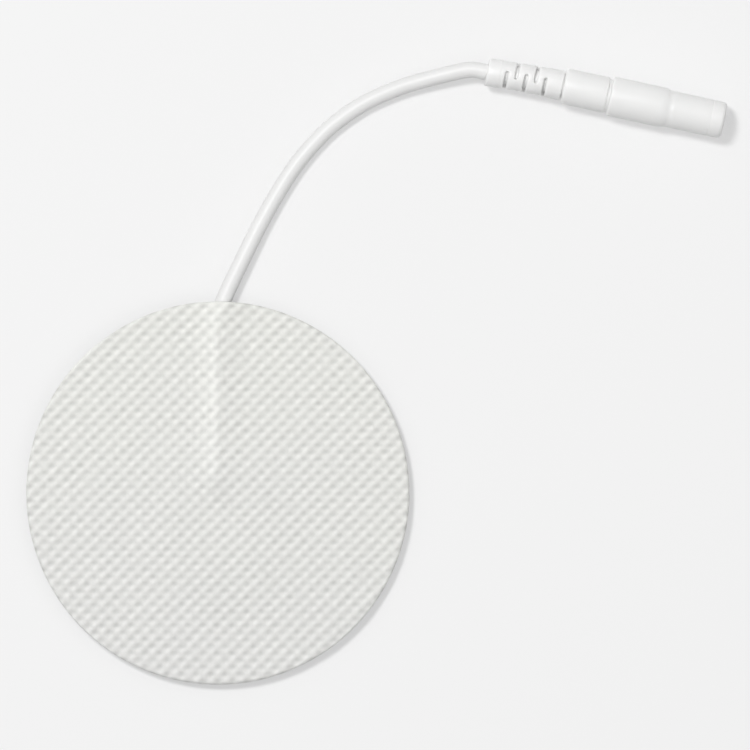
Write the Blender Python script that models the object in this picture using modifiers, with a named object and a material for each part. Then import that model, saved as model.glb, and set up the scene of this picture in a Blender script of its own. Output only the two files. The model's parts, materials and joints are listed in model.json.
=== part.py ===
# Round self-adhesive electrode pad for nerve stimulation, with its lead and connector.
# Units are metres. The pad lies gel side down on z = 0 with its centre at the origin,
# and +Y points from the centre to the place where the lead leaves the rim.

import math

import bmesh
import bpy
from mathutils import Matrix, Vector

# Pad, built up from the skin side: gel, film, cloth
PAD_RADIUS = 0.0250
RIM_SEGMENTS = 128
GEL_INSET = 0.0004
GEL_THICKNESS = 0.0015
FILM_INSET = 0.0002
FILM_THICKNESS = 0.00012
CLOTH_THICKNESS = 0.00035
GLUE_LINE = 0.00005

# Weave of the cloth: staggered raised dots
DOT_PITCH_ACROSS = 0.00194
DOT_PITCH_ALONG = 0.00181
DOT_HEIGHT = 0.00028

# Lead, and how the layers lie around it. The two strips are how far the finer faces
# reach beside the lead, as multiples of its channel's radius, and the steps are how
# many faces the trough has across the lead and along each bend
LEAD_DIAMETER = 0.0021
LEAD_CLEARANCE = 0.0001
GEL_UNDER_LEAD = 0.0002
LEAD_SIDE_OFFSET = -0.0004
LEAD_STOPS_BEFORE_CENTRE = 0.0020
LEAD_SWING = 0.0011
LEAD_SWING_LENGTH = 0.0050
CLOTH_SLOPE = math.radians(28)
FILM_SLOPE = math.radians(52)
END_TAPER = 0.75
TROUGH_STRIP = 1.8
CLOTH_STRIP = 2.1
TROUGH_STEPS = 6
BEND_STEPS = 5

# Bare strands fanned out on the film
STRAND_COUNT = 5
STRAND_DIAMETER = 0.0002
STRAND_LENGTH = 0.0110
STRAND_SPREAD = math.radians(44)
STRAND_DROP_LENGTH = 0.0030
STRAND_STEPS = 4
CONDUCTOR_DIAMETER = 0.0009
CONDUCTOR_STUB = 0.0006
CONDUCTOR_GAP = 0.00005
FAN_MARGIN = 0.0012
MOUND_SPREAD = 2.2
MOUND_FLAT_SHARE = 0.45

# Connector, along its own axis from the end of the strain relief to the mouth
REST_CLEARANCE = 0.00001
CONNECTOR_START = (0.03517, 0.05527)
CONNECTOR_TURN = math.radians(-12.3)
COLLAR_LENGTH = 0.0018
COLLAR_DIAMETER = 0.0037
RELIEF_LENGTH = 0.0102
RELIEF_START_DIAMETER = 0.0036
RELIEF_END_DIAMETER = 0.0039
SHOULDER_LENGTH = 0.0056
SHOULDER_DIAMETER = 0.0047
SEAM_WIDTH = 0.0003
SEAM_DEPTH = 0.00018
GRIP_LENGTH = 0.0073
GRIP_DIAMETER = 0.0052
GRIP_TAPER = 0.0009
NOSE_LENGTH = 0.0073
NOSE_DIAMETER = 0.0048
EDGE_ROUNDING = 0.0003
MOUTH_ROUNDING = 0.0006
MOUTH_CLEARANCE = 0.0002
MOUTH_CHAMFER = 0.00025
TURNED_STEPS = 28

# Windows of the strain relief
WINDOW_COUNT = 5
RELIEF_PLAIN_START = 0.0008
RELIEF_PLAIN_END = 0.0025
WINDOW_LENGTH = 0.00065
WINDOW_WIDTH = 0.0031
WINDOW_FLOOR = 0.0006
WINDOW_ROLL = math.radians(45)
RELIEF_SIDE_BEND = 0.00035
RELIEF_SAG = 0.0004

# Contact in the connector, made for a 2 mm pin
PIN_DIAMETER = 0.0020
PIN_CLEARANCE = 0.00005
CONTACT_WALL = 0.0004
CONTACT_RECESS = 0.0009
CONTACT_LENGTH = 0.0130
CONTACT_CLEARANCE = 0.00008
CRIMP_WALL = 0.0004
CRIMP_LENGTH = 0.0045
CRIMP_CLEARANCE = 0.00006
SLIT_WIDTH = 0.0003
SLIT_LENGTH = 0.0070

# Free stretch of the lead: its two ends are worked out, the points between are chosen
CORD_GAP = 0.0003
CORD_START_INSIDE_RIM = 0.0002
CORD_SPACING = 0.0045
CORD_STRAIGHT_END = 0.0018
ROUTE_STEPS = 12
CORD_ROUTE = [
    (0.00343, 0.03087, 0.00140),
    (0.00591, 0.03581, 0.00120),
    (0.00877, 0.04072, 0.00109),
    (0.01136, 0.04430, 0.00106),
    (0.01478, 0.04783, 0.00106),
    (0.01905, 0.05082, 0.00112),
    (0.02358, 0.05286, 0.00128),
    (0.02719, 0.05395, 0.00152),
    (0.03060, 0.05480, 0.00182),
]

# Levels worked out from the sizes above
GEL_TOP = GEL_THICKNESS
FILM_BOTTOM = GEL_TOP + GLUE_LINE
FILM_TOP = FILM_BOTTOM + FILM_THICKNESS
CLOTH_BOTTOM = FILM_TOP + GLUE_LINE
CLOTH_TOP = CLOTH_BOTTOM + CLOTH_THICKNESS
LEAD_RADIUS = LEAD_DIAMETER / 2
LEAD_CHANNEL = LEAD_RADIUS + LEAD_CLEARANCE
LEAD_LEVEL = GEL_UNDER_LEAD + GLUE_LINE + FILM_THICKNESS + LEAD_CHANNEL

# Stations worked out along the connector's axis
SHOULDER_END = RELIEF_LENGTH + SHOULDER_LENGTH
GRIP_START = SHOULDER_END + SEAM_WIDTH
GRIP_END = GRIP_START + GRIP_LENGTH
CONNECTOR_LENGTH = GRIP_END + GRIP_TAPER + NOSE_LENGTH
CONTACT_END = CONNECTOR_LENGTH - CONTACT_RECESS
CONTACT_START = CONTACT_END - CONTACT_LENGTH
CRIMP_START = CONTACT_START - CRIMP_LENGTH
LEAD_STRIPPED_AT = CRIMP_START - CORD_GAP
CONNECTOR_LEVEL = GRIP_DIAMETER / 2 + REST_CLEARANCE
WINDOW_START = COLLAR_LENGTH + RELIEF_PLAIN_START
WINDOW_STEP = (RELIEF_LENGTH - RELIEF_PLAIN_END - WINDOW_START) / (WINDOW_COUNT - 1)

# Radii worked out for the contact, from the pin and the conductor outwards
CONTACT_BORE = PIN_DIAMETER / 2 + PIN_CLEARANCE
CONTACT_OUTSIDE = CONTACT_BORE + CONTACT_WALL
CRIMP_BORE = CONDUCTOR_DIAMETER / 2 + CRIMP_CLEARANCE
CRIMP_OUTSIDE = CRIMP_BORE + CRIMP_WALL


def clear_scene():
    for thing in list(bpy.data.objects):
        bpy.data.objects.remove(thing, do_unlink=True)


def make_collection(name):
    group = bpy.data.collections.new(name)
    bpy.context.scene.collection.children.link(group)
    return group


def make_material(name, color, roughness, metallic=0.0):
    material = bpy.data.materials.new(name)
    material.use_nodes = True
    shader = material.node_tree.nodes["Principled BSDF"]
    shader.inputs["Base Color"].default_value = (*color, 1.0)
    shader.inputs["Roughness"].default_value = roughness
    shader.inputs["Metallic"].default_value = metallic
    return material


def add_piece(name, data, material, group):
    piece = bpy.data.objects.new(name, data)
    piece.data.materials.append(material)
    group.objects.link(piece)
    return piece


def add_cutter(name, mesh, group):
    cutter = bpy.data.objects.new(name, mesh)
    cutter.hide_render = True
    cutter.display_type = "WIRE"
    group.objects.link(cutter)
    return cutter


def mesh_from(bm, name):
    mesh = bpy.data.meshes.new(name)
    bm.to_mesh(mesh)
    bm.free()
    return mesh


def shade(mesh, angle=math.radians(35)):
    mesh.shade_smooth()
    mesh.set_sharp_from_angle(angle=angle)


def settled_mesh(piece):
    """The piece's mesh with its modifiers or its bevelled curve worked in, caps welded."""
    bpy.context.view_layer.update()
    graph = bpy.context.evaluated_depsgraph_get()
    mesh = bpy.data.meshes.new_from_object(piece.evaluated_get(graph))
    bm = bmesh.new()
    bm.from_mesh(mesh)
    bmesh.ops.remove_doubles(bm, verts=bm.verts, dist=0.000001)
    bmesh.ops.recalc_face_normals(bm, faces=bm.faces)
    bm.to_mesh(mesh)
    bm.free()
    return mesh


def boolean(piece, cutter, operation):
    cut = piece.modifiers.new(cutter.name, "BOOLEAN")
    cut.operation = operation
    cut.object = cutter
    cut.solver = "EXACT"


# The lead's line in the pad, and how far a point of the pad lies from it

def lead_line_x(y):
    swing = max(0.0, y - (PAD_RADIUS - LEAD_SWING_LENGTH)) / LEAD_SWING_LENGTH
    return LEAD_SIDE_OFFSET + LEAD_SWING * swing ** 2


def lead_line_lean(y):
    """Sideways slope of the lead's line, as its run across for each metre along."""
    swing = max(0.0, y - (PAD_RADIUS - LEAD_SWING_LENGTH)) / LEAD_SWING_LENGTH
    return 2 * LEAD_SWING * swing / LEAD_SWING_LENGTH


def lead_distance(x, y):
    across = abs(x - lead_line_x(y)) * math.cos(math.atan(lead_line_lean(y)))
    past_end = max(0.0, LEAD_STOPS_BEFORE_CENTRE - y)
    return math.hypot(across, past_end * END_TAPER)


def tent(distance, centre_height, radius, slope):
    """Height at which a sheet lies that is drawn over a round rod and slopes off beside it."""
    touch = radius * math.sin(slope)
    if distance <= touch:
        return max(0.0, centre_height + math.sqrt(radius ** 2 - distance ** 2))
    height_at_touch = centre_height + radius * math.cos(slope)
    return max(0.0, height_at_touch - (distance - touch) * math.tan(slope))


def fan_mound(x, y):
    """The low swelling of the cloth over the fanned strands."""
    middle = LEAD_STOPS_BEFORE_CENTRE - STRAND_LENGTH / 2
    half_length = (STRAND_LENGTH / 2 + FAN_MARGIN) * MOUND_SPREAD
    half_width = (STRAND_LENGTH * math.sin(STRAND_SPREAD / 2) + FAN_MARGIN) * MOUND_SPREAD
    off = math.hypot((x - LEAD_SIDE_OFFSET) / half_width, (y - middle) / half_length)
    slide = (off - MOUND_FLAT_SHARE) / (1 - MOUND_FLAT_SHARE)
    slide = min(1.0, max(0.0, slide))
    return (STRAND_DIAMETER + LEAD_CLEARANCE) * 0.5 * (1 + math.cos(math.pi * slide))


def cloth_rise(x, y, level, radius):
    over_lead = tent(lead_distance(x, y), LEAD_LEVEL - level, radius, CLOTH_SLOPE)
    return max(over_lead, fan_mound(x, y))


def film_dip(x, y, level, radius):
    return tent(lead_distance(x, y), level - LEAD_LEVEL, radius, FILM_SLOPE)


# Gel and film: round layers with a trough under the lead

def trough_stations(reach):
    step = LEAD_DIAMETER / TROUGH_STEPS
    left = LEAD_SIDE_OFFSET - reach
    right = LEAD_SIDE_OFFSET + LEAD_SWING + reach
    columns = [left + step * i for i in range(math.ceil((right - left) / step) + 1)]
    shares = [i / BEND_STEPS for i in range(BEND_STEPS + 1)]
    end_rows = [LEAD_STOPS_BEFORE_CENTRE - reach / END_TAPER * share for share in shares]
    swing_rows = [PAD_RADIUS - LEAD_SWING_LENGTH * share for share in shares[1:]]
    return columns, end_rows + swing_rows


def round_sheet(radius):
    """A flat round sheet, cut in narrow strips where the lead lies in a trough."""
    bm = bmesh.new()
    bmesh.ops.create_circle(bm, cap_ends=True, segments=RIM_SEGMENTS, radius=radius)
    columns, rows = trough_stations(LEAD_CHANNEL * TROUGH_STRIP)
    for x in columns:
        everything = bm.verts[:] + bm.edges[:] + bm.faces[:]
        bmesh.ops.bisect_plane(bm, geom=everything, plane_co=(x, 0, 0), plane_no=(1, 0, 0))
    for y in rows:
        strip = [face for face in bm.faces
                 if columns[0] < face.calc_center_median().x < columns[-1]]
        edges = {edge for face in strip for edge in face.edges}
        verts = {vert for face in strip for vert in face.verts}
        bmesh.ops.bisect_plane(bm, geom=[*verts, *edges, *strip], plane_co=(0, y, 0),
                               plane_no=(0, 1, 0))
    bmesh.ops.triangulate(bm, faces=bm.faces, quad_method="FIXED")
    return bm


def thicken(bm, low_height, high_height):
    """Turn an open sheet into a closed layer between two surfaces given by functions."""
    grown = bmesh.ops.extrude_face_region(bm, geom=bm.faces[:])["geom"]
    upper = {item for item in grown if isinstance(item, bmesh.types.BMVert)}
    for vert in bm.verts:
        height = high_height if vert in upper else low_height
        vert.co.z = height(*vert.co)
    bmesh.ops.recalc_face_normals(bm, faces=bm.faces)
    lower = [vert for vert in bm.verts if vert not in upper]
    lower_edges = [edge for edge in bm.edges if not upper.intersection(edge.verts)]
    bmesh.ops.dissolve_limit(bm, angle_limit=math.radians(0.05), verts=lower,
                             edges=lower_edges)


def make_hydrogel(material, parts):
    reach = LEAD_CHANNEL + FILM_THICKNESS + GLUE_LINE
    bm = round_sheet(PAD_RADIUS - GEL_INSET)
    thicken(bm, lambda x, y, z: 0.0,
            lambda x, y, z: GEL_TOP - film_dip(x, y, GEL_TOP, reach))
    mesh = mesh_from(bm, "hydrogel")
    shade(mesh)
    return add_piece("hydrogel", mesh, material, parts)


def make_carbon_film(material, parts):
    low_reach = LEAD_CHANNEL + FILM_THICKNESS
    bm = round_sheet(PAD_RADIUS - FILM_INSET)
    thicken(bm, lambda x, y, z: FILM_BOTTOM - film_dip(x, y, FILM_BOTTOM, low_reach),
            lambda x, y, z: FILM_TOP - film_dip(x, y, FILM_TOP, LEAD_CHANNEL))
    mesh = mesh_from(bm, "carbon_film")
    shade(mesh)
    return add_piece("carbon_film", mesh, material, parts)


# Cloth: a lattice of raised dots, drawn over the lead and cut round

def weave_lattice():
    """Flat lattice of cells with a raised point in each, wider than the pad."""
    cell = min(DOT_PITCH_ACROSS, DOT_PITCH_ALONG) / math.sqrt(2)
    margin = DOT_PITCH_ACROSS
    count = 2 * math.ceil((PAD_RADIUS + margin) / cell)
    bm = bmesh.new()
    bmesh.ops.create_grid(bm, x_segments=count, y_segments=count, size=count / 2)
    for vert in bm.verts:
        across = (vert.co.x - vert.co.y) * DOT_PITCH_ACROSS / 2
        along = (vert.co.x + vert.co.y) * DOT_PITCH_ALONG / 2
        vert.co = (across, along, 0)
    outside = [face for face in bm.faces
               if face.calc_center_median().length > PAD_RADIUS + DOT_PITCH_ALONG]
    bmesh.ops.delete(bm, geom=outside, context="FACES")
    dots = bmesh.ops.poke(bm, faces=bm.faces)["verts"]
    bmesh.ops.translate(bm, verts=dots, vec=(0, 0, DOT_HEIGHT))
    return bm


def over_lead(edge, reach):
    middle = (edge.verts[0].co + edge.verts[1].co) / 2
    return lead_distance(middle.x, middle.y) < reach


def make_fabric_backing(material, parts, cutters):
    bm = weave_lattice()
    near = [edge for edge in bm.edges if over_lead(edge, LEAD_CHANNEL * CLOTH_STRIP)]
    bmesh.ops.subdivide_edges(bm, edges=near, cuts=2)
    bmesh.ops.triangulate(bm, faces=bm.faces)
    outer_reach = LEAD_CHANNEL + CLOTH_THICKNESS
    thicken(bm, lambda x, y, z: CLOTH_BOTTOM + cloth_rise(x, y, CLOTH_BOTTOM, LEAD_CHANNEL),
            lambda x, y, z: CLOTH_TOP + z + cloth_rise(x, y, CLOTH_TOP, outer_reach))
    cloth = add_piece("fabric_backing", mesh_from(bm, "fabric_backing"), material, parts)

    height = 2 * (LEAD_LEVEL + LEAD_CHANNEL + CLOTH_THICKNESS + DOT_HEIGHT)
    knife = bmesh.new()
    bmesh.ops.create_cone(knife, cap_ends=True, segments=RIM_SEGMENTS, radius1=PAD_RADIUS,
                          radius2=PAD_RADIUS, depth=2 * height)
    boolean(cloth, add_cutter("round_die", mesh_from(knife, "round_die"), cutters), "INTERSECT")
    return cloth


# Lead: its two held ends, its bare strands and its free stretch

def rod_curve(name, points, diameter):
    curve = bpy.data.curves.new(name, "CURVE")
    curve.dimensions = "3D"
    curve.bevel_depth = diameter / 2
    curve.bevel_resolution = 2
    curve.use_fill_caps = True
    spline = curve.splines.new("POLY")
    spline.points.add(len(points) - 1)
    for target, point in zip(spline.points, points):
        target.co = (*point, 1.0)
    return curve


def smooth_route(points, spacing):
    """Evenly spaced points of a smooth curve through the chosen ones."""
    points = [Vector(point) for point in points]
    before = 2 * points[0] - points[1]
    after = 2 * points[-1] - points[-2]
    padded = [before, *points, after]
    fine = []
    for a, b, c, d in zip(padded, padded[1:], padded[2:], padded[3:]):
        for step in range(ROUTE_STEPS):
            t = step / ROUTE_STEPS
            fine.append(0.5 * (2 * b + (c - a) * t + (2 * a - 5 * b + 4 * c - d) * t ** 2
                               + (3 * b - a - 3 * c + d) * t ** 3))
    fine.append(points[-1])
    runs = [0.0]
    for first, second in zip(fine, fine[1:]):
        runs.append(runs[-1] + (second - first).length)
    count = max(2, round(runs[-1] / spacing))
    even = []
    place = 0
    for index in range(count + 1):
        wanted = runs[-1] * index / count
        while place < len(fine) - 2 and runs[place + 1] < wanted:
            place += 1
        share = (wanted - runs[place]) / (runs[place + 1] - runs[place])
        even.append(fine[place].lerp(fine[place + 1], share))
    return even


def lead_point(y):
    return Vector((lead_line_x(y), y, LEAD_LEVEL))


def cord_ends():
    """First point at the pad's rim and the way out of it, last point and the way in."""
    start_y = PAD_RADIUS - CORD_START_INSIDE_RIM
    way_out = Vector((lead_line_lean(start_y), 1.0, 0.0)).normalized()
    way_in = (connector_point(0.0) - connector_point(-CORD_GAP)).normalized()
    return lead_point(start_y), way_out, connector_point(-CORD_GAP), way_in


def make_lead_pad_end(material, parts):
    top = PAD_RADIUS - CORD_START_INSIDE_RIM - CORD_GAP
    bottom = LEAD_STOPS_BEFORE_CENTRE
    swing = PAD_RADIUS - LEAD_SWING_LENGTH
    bend = [swing + (top - swing) * step / BEND_STEPS for step in range(BEND_STEPS + 1)]
    points = [lead_point(y) for y in [bottom, *bend]]
    return add_piece("lead_pad_end", rod_curve("lead_pad_end", points, LEAD_DIAMETER),
                     material, parts)


def strand_points(turn, lead_end):
    """A strand from inside the stub, down to the film and out over it."""
    lying = FILM_TOP + CONDUCTOR_GAP + STRAND_DIAMETER / 2
    heading = Vector((math.sin(turn), -math.cos(turn), 0.0))
    start = lead_end - Vector((0, CONDUCTOR_STUB / 2, 0))
    points = [start]
    for step in range(1, STRAND_STEPS + 1):
        share = step / STRAND_STEPS
        ease = share * share * (3 - 2 * share)
        point = start + heading * (STRAND_DROP_LENGTH * share)
        point.z = lead_end.z + (lying - lead_end.z) * ease
        points.append(point)
    tip = start + heading * (STRAND_LENGTH - CONDUCTOR_STUB)
    tip.z = lying
    points.append(tip)
    return points


def make_conductor_fan(material, parts, cutters):
    lead_end = lead_point(LEAD_STOPS_BEFORE_CENTRE) - Vector((0, CONDUCTOR_GAP, 0))
    stub_points = [lead_end, lead_end - Vector((0, CONDUCTOR_STUB, 0))]
    stub_curve = rod_curve("conductor_fan", stub_points, CONDUCTOR_DIAMETER)
    shaper = bpy.data.objects.new("stub_shaper", stub_curve)
    cutters.objects.link(shaper)
    fan = add_piece("conductor_fan", settled_mesh(shaper), material, parts)
    bpy.data.objects.remove(shaper, do_unlink=True)
    for index in range(STRAND_COUNT):
        turn = STRAND_SPREAD * (index / (STRAND_COUNT - 1) - 0.5)
        points = strand_points(turn, lead_end)
        shaper = bpy.data.objects.new("strand_shaper",
                                      rod_curve("strand", points, STRAND_DIAMETER))
        cutters.objects.link(shaper)
        strand = add_cutter(f"strand_{index + 1}", settled_mesh(shaper), cutters)
        bpy.data.objects.remove(shaper, do_unlink=True)
        boolean(fan, strand, "UNION")
    return fan


def make_lead_cord(material, parts):
    start, way_out, finish, way_in = cord_ends()
    near_start = start + way_out * CORD_STRAIGHT_END
    near_finish = finish - way_in * CORD_STRAIGHT_END
    chosen = [start, near_start, *CORD_ROUTE, near_finish, finish]
    curve = rod_curve("lead_cord", smooth_route(chosen, CORD_SPACING), LEAD_DIAMETER)
    return add_piece("lead_cord", curve, material, parts)


# Connector: pieces are made upright on its own axis, then laid down

def connector_frame(parts):
    frame = bpy.data.objects.new("connector_frame", None)
    frame.location = (*CONNECTOR_START, CONNECTOR_LEVEL)
    frame.rotation_euler = (0, math.pi / 2, CONNECTOR_TURN)
    parts.objects.link(frame)
    return frame


def relief_bend(z):
    """How far the strain relief bends aside and sags, at a height on the axis."""
    share = max(0.0, RELIEF_LENGTH - z) / RELIEF_LENGTH
    return RELIEF_SAG * share ** 2, -RELIEF_SIDE_BEND * share ** 2


def connector_point(z):
    """A point of the bent axis in world coordinates."""
    down, aside = relief_bend(z)
    axis = Vector((math.cos(CONNECTOR_TURN), math.sin(CONNECTOR_TURN), 0.0))
    side = Vector((-math.sin(CONNECTOR_TURN), math.cos(CONNECTOR_TURN), 0.0))
    start = Vector((*CONNECTOR_START, CONNECTOR_LEVEL))
    return start + axis * z + side * aside - Vector((0, 0, down))


def bend_mesh(mesh):
    for vert in mesh.vertices:
        down, aside = relief_bend(vert.co.z)
        vert.co.x += down
        vert.co.y += aside


def quarter_round(radius, z, rounding, below, steps=4):
    """Rounded outer edge at the end z of a cylinder, listed from high to low."""
    points = []
    for step in range(steps + 1):
        angle = math.pi / 2 * (step / steps if not below else 1 - step / steps)
        out = radius - rounding + rounding * math.sin(angle)
        up = rounding * math.cos(angle)
        points.append((out, z + rounding - up if below else z - rounding + up))
    return points


def turned_mesh(name, profile):
    """A closed profile of radius and height, outer side top to bottom, turned full circle."""
    bm = bmesh.new()
    verts = [bm.verts.new((radius, 0.0, z)) for radius, z in profile]
    for first, second in zip(verts, verts[1:] + verts[:1]):
        bm.edges.new((first, second))
    shaper = bpy.data.objects.new(name, mesh_from(bm, name))
    bpy.context.scene.collection.objects.link(shaper)
    screw = shaper.modifiers.new("turn", "SCREW")
    screw.steps = TURNED_STEPS
    screw.render_steps = TURNED_STEPS
    screw.use_merge_vertices = True
    screw.merge_threshold = 0.000001
    mesh = settled_mesh(shaper)
    bpy.data.objects.remove(shaper, do_unlink=True)
    return mesh


def sleeve_profile():
    collar = COLLAR_DIAMETER / 2
    relief_start = RELIEF_START_DIAMETER / 2
    relief_end = RELIEF_END_DIAMETER / 2
    shoulder = SHOULDER_DIAMETER / 2
    grip = GRIP_DIAMETER / 2
    nose = NOSE_DIAMETER / 2
    outer = quarter_round(nose, CONNECTOR_LENGTH, MOUTH_ROUNDING, False)
    outer += [(nose, GRIP_END + GRIP_TAPER), (grip, GRIP_END)]
    outer += quarter_round(grip, GRIP_START, EDGE_ROUNDING, True)
    outer += [(shoulder - SEAM_DEPTH, GRIP_START), (shoulder - SEAM_DEPTH, SHOULDER_END)]
    outer += quarter_round(shoulder, SHOULDER_END, EDGE_ROUNDING, False)
    outer += quarter_round(shoulder, RELIEF_LENGTH, EDGE_ROUNDING, True)
    outer += [(relief_end, RELIEF_LENGTH), (relief_start, COLLAR_LENGTH)]
    outer += [(collar, COLLAR_LENGTH - EDGE_ROUNDING / 2)]
    outer += quarter_round(collar, 0.0, EDGE_ROUNDING, True)
    contact_pocket = CONTACT_OUTSIDE + CONTACT_CLEARANCE
    lead_bore = LEAD_RADIUS + LEAD_CLEARANCE / 2
    crimp_pocket = CRIMP_OUTSIDE + CONTACT_CLEARANCE
    mouth = PIN_DIAMETER / 2 + MOUTH_CLEARANCE
    inner = [
        (lead_bore, 0.0),
        (lead_bore, CRIMP_START - CONTACT_CLEARANCE),
        (crimp_pocket, CRIMP_START - CONTACT_CLEARANCE),
        (crimp_pocket, CONTACT_START - CONTACT_CLEARANCE),
        (contact_pocket, CONTACT_START - CONTACT_CLEARANCE),
        (contact_pocket, CONTACT_END + CONTACT_CLEARANCE),
        (mouth, CONTACT_END + CONTACT_CLEARANCE),
        (mouth, CONNECTOR_LENGTH - MOUTH_CHAMFER),
        (mouth + MOUTH_CHAMFER, CONNECTOR_LENGTH),
    ]
    return outer + inner


def window_cutters(cutters):
    """Alternate pairs of windows, each pair a quarter turn on from the one before."""
    bm = bmesh.new()
    reach = SHOULDER_DIAMETER
    for index in range(WINDOW_COUNT):
        z = WINDOW_START + index * WINDOW_STEP
        for side in (0.0, math.pi):
            turn = Matrix.Rotation(WINDOW_ROLL + index * math.pi / 2 + side, 3, "Z")
            box = bmesh.ops.create_cube(bm, size=1.0)["verts"]
            bmesh.ops.scale(bm, verts=box, vec=(reach, WINDOW_WIDTH, WINDOW_LENGTH))
            bmesh.ops.translate(bm, verts=box, vec=(WINDOW_FLOOR + reach / 2, 0, z))
            bmesh.ops.rotate(bm, verts=box, cent=(0, 0, 0), matrix=turn)
    return add_cutter("windows", mesh_from(bm, "windows"), cutters)


def make_connector_sleeve(material, parts, cutters, frame):
    shaper = add_cutter("sleeve_shaper", turned_mesh("sleeve_shaper", sleeve_profile()), cutters)
    boolean(shaper, window_cutters(cutters), "DIFFERENCE")
    mesh = settled_mesh(shaper)
    bpy.data.objects.remove(shaper, do_unlink=True)
    mesh.name = "connector_sleeve"
    bend_mesh(mesh)
    shade(mesh)
    sleeve = add_piece("connector_sleeve", mesh, material, parts)
    sleeve.parent = frame
    return sleeve


def make_contact_socket(material, parts, cutters, frame):
    lead_in = CONTACT_WALL / 2
    profile = [
        (CONTACT_OUTSIDE, CONTACT_END),
        (CONTACT_OUTSIDE, CONTACT_START),
        (CRIMP_OUTSIDE, CONTACT_START),
        (CRIMP_OUTSIDE, CRIMP_START),
        (CRIMP_BORE, CRIMP_START),
        (CRIMP_BORE, CONTACT_START + CONTACT_WALL),
        (CONTACT_BORE, CONTACT_START + CONTACT_WALL),
        (CONTACT_BORE, CONTACT_END - lead_in),
        (CONTACT_BORE + lead_in, CONTACT_END),
    ]
    contact = add_piece("contact_socket", turned_mesh("contact_socket", profile), material, parts)
    contact.parent = frame
    shade(contact.data)

    bm = bmesh.new()
    bmesh.ops.create_cube(bm, size=1.0)
    bmesh.ops.scale(bm, verts=bm.verts, vec=(4 * CONTACT_OUTSIDE, SLIT_WIDTH, 2 * SLIT_LENGTH))
    bmesh.ops.translate(bm, verts=bm.verts, vec=(0, 0, CONTACT_END))
    slit = add_cutter("contact_slit", mesh_from(bm, "contact_slit"), cutters)
    slit.parent = frame
    boolean(contact, slit, "DIFFERENCE")
    return contact


def make_lead_connector_end(material, parts, cutters, frame):
    steps = round(LEAD_STRIPPED_AT / LEAD_DIAMETER)
    points = [(0, 0, LEAD_STRIPPED_AT * step / steps) for step in range(steps + 1)]
    curve = rod_curve("lead_connector_end", points, LEAD_DIAMETER)
    shaper = bpy.data.objects.new("lead_shaper", curve)
    cutters.objects.link(shaper)
    mesh = settled_mesh(shaper)
    bpy.data.objects.remove(shaper, do_unlink=True)
    bend_mesh(mesh)
    shade(mesh)
    lead = add_piece("lead_connector_end", mesh, material, parts)
    lead.parent = frame
    return lead


def make_conductor_crimped_end(material, parts, frame):
    low = LEAD_STRIPPED_AT + CONDUCTOR_GAP
    high = CONTACT_START
    bm = bmesh.new()
    bmesh.ops.create_cone(bm, cap_ends=True, segments=16, radius1=CONDUCTOR_DIAMETER / 2,
                          radius2=CONDUCTOR_DIAMETER / 2, depth=high - low)
    bmesh.ops.translate(bm, verts=bm.verts, vec=(0, 0, (low + high) / 2))
    conductor = add_piece("conductor_crimped_end", mesh_from(bm, "conductor_crimped_end"),
                          material, parts)
    shade(conductor.data)
    conductor.parent = frame
    return conductor


def main():
    clear_scene()
    parts = make_collection("electrode_pad")
    cutters = make_collection("cutters")
    cloth = make_material("woven_cloth", (0.83, 0.83, 0.80), 0.85)
    film = make_material("carbon_film", (0.02, 0.02, 0.022), 0.45)
    gel = make_material("clear_gel", (0.72, 0.75, 0.72), 0.12)
    jacket = make_material("white_lead_jacket", (0.86, 0.86, 0.86), 0.35)
    moulding = make_material("white_moulding", (0.87, 0.87, 0.87), 0.38)
    nickel = make_material("nickelled_contact", (0.72, 0.70, 0.66), 0.25, 1.0)
    copper = make_material("tinned_strands", (0.70, 0.67, 0.62), 0.35, 1.0)

    make_hydrogel(gel, parts)
    make_carbon_film(film, parts)
    make_fabric_backing(cloth, parts, cutters)
    make_lead_pad_end(jacket, parts)
    make_conductor_fan(copper, parts, cutters)
    make_lead_cord(jacket, parts)

    frame = connector_frame(parts)
    make_connector_sleeve(moulding, parts, cutters, frame)
    make_contact_socket(nickel, parts, cutters, frame)
    make_lead_connector_end(jacket, parts, cutters, frame)
    make_conductor_crimped_end(copper, parts, frame)
    bpy.context.view_layer.update()


main()
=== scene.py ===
# Round self-adhesive electrode pad: woven cloth, carbon film and gel, a white lead and its pin socket
# Everything is in metres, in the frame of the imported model. Looks only, no piece of the frame is moved

import json
import math

import bmesh
import bpy
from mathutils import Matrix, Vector, noise


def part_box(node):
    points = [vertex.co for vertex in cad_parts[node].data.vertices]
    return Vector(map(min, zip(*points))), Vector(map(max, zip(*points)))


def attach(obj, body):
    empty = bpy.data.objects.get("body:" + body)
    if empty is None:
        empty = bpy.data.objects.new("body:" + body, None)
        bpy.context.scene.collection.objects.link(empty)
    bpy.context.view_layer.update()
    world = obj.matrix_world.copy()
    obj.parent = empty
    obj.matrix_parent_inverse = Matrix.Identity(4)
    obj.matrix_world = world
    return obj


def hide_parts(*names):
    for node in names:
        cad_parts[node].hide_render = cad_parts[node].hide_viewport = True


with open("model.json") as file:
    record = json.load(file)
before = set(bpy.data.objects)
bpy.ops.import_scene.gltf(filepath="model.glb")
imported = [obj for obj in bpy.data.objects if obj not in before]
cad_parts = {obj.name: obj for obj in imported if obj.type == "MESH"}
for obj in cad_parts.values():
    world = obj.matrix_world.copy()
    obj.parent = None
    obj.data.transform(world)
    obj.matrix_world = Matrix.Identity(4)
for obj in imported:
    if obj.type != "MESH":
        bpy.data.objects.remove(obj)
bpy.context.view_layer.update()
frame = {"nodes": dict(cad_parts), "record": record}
mm = 0.001
tiny = 0.0001 * mm                                          # points closer than this count as one
root = "root"
print("frame loaded:", len(frame["nodes"]), "nodes")


# Shader maths: a socket that adds, multiplies and so on, and a material made of such sockets

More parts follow.
